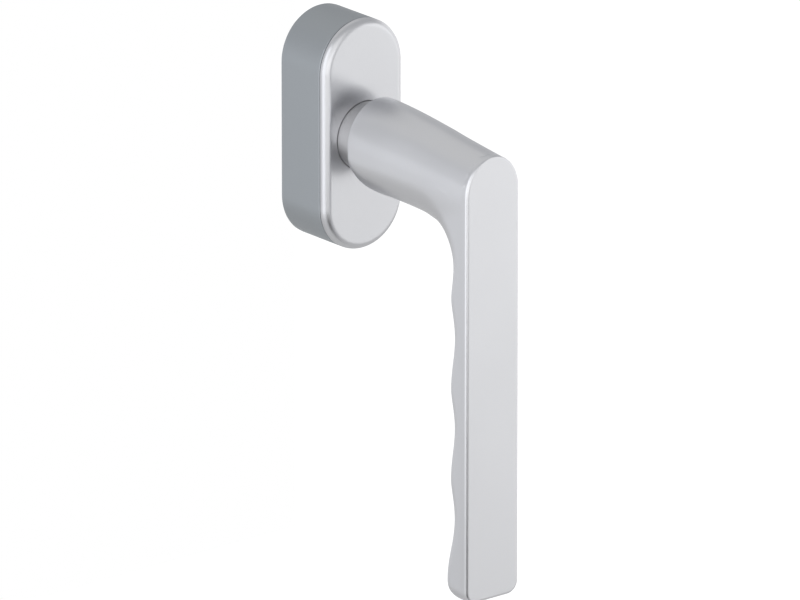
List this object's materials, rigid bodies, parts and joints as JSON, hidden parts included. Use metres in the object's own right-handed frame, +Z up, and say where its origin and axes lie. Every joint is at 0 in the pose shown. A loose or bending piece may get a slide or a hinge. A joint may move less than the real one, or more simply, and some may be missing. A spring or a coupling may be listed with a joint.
{
  "type": "window handle",
  "caption": "Lever handle on a deep oblong rosette for a tilt-and-turn window, with a square spindle, a click-stop inside and a cover that lifts and turns to show its screws.",
  "frame": {"origin": "where the spindle's axis meets the rosette's back face, which lies on the window sash", "axes": "+Z up along the rosette, with the lever pointing down at rest; +Y into the window, along the spindle; -Y towards the room"},
  "size_m": [0.0294, 0.1177, 0.1621],
  "materials": {
    "housing": "satin anodised",
    "base_plate": "zinc plated",
    "support_lug_upper": "zinc plated",
    "support_lug_lower": "zinc plated",
    "fixing_screw_upper": "zinc plated",
    "fixing_screw_lower": "zinc plated",
    "plate_screw_upper": "zinc plated",
    "plate_screw_lower": "zinc plated",
    "bearing_bush": "moulded",
    "spring_posts": "zinc plated",
    "detent_spring_upper": "blued spring steel",
    "detent_spring_lower": "blued spring steel",
    "cover_guide": "moulded",
    "cover_cap": "satin anodised",
    "grip": "satin anodised",
    "collar": "satin anodised",
    "drive_hub": "turned",
    "spindle": "zinc plated",
    "spindle_pin": "hardened",
    "detent_cam": "sintered",
    "wave_washer": "spring steel",
    "thrust_washer": "zinc plated",
    "retaining_ring": "phosphated"
  },
  "bodies": {
    "rosette": {"housing": "housing", "base_plate": "base_plate", "support_lug_upper": "support_lug_upper", "support_lug_lower": "support_lug_lower", "fixing_screw_upper": "fixing_screw_upper", "fixing_screw_lower": "fixing_screw_lower", "plate_screw_upper": "plate_screw_upper", "plate_screw_lower": "plate_screw_lower", "bearing_bush": "bearing_bush", "spring_posts": "spring_posts", "detent_spring_upper": "detent_spring_upper", "detent_spring_lower": "detent_spring_lower"},
    "cover_guide": {"cover_guide": "cover_guide"},
    "cover": {"cover_cap": "cover_cap"},
    "handle": {"grip": "grip", "collar": "collar", "drive_hub": "drive_hub", "spindle": "spindle", "spindle_pin": "spindle_pin", "detent_cam": "detent_cam", "wave_washer": "wave_washer", "thrust_washer": "thrust_washer", "retaining_ring": "retaining_ring"}
  },
  "joints": [
    {"name": "handle_turn", "type": "hinge", "parent": "rosette", "child": "handle", "pos_m": [0, 0, 0], "axis": [0, 1, 0], "range_deg": [-180, 180], "deforming": ["detent_spring_upper", "detent_spring_lower"]},
    {"name": "cover_lift", "type": "slide", "parent": "rosette", "child": "cover_guide", "axis": [0, -1, 0], "range_m": [0, 0.0035]},
    {"name": "cover_turn", "type": "hinge", "parent": "cover_guide", "child": "cover", "pos_m": [0, 0, 0], "axis": [0, 1, 0], "range_deg": [-90, 90]}
  ]
}
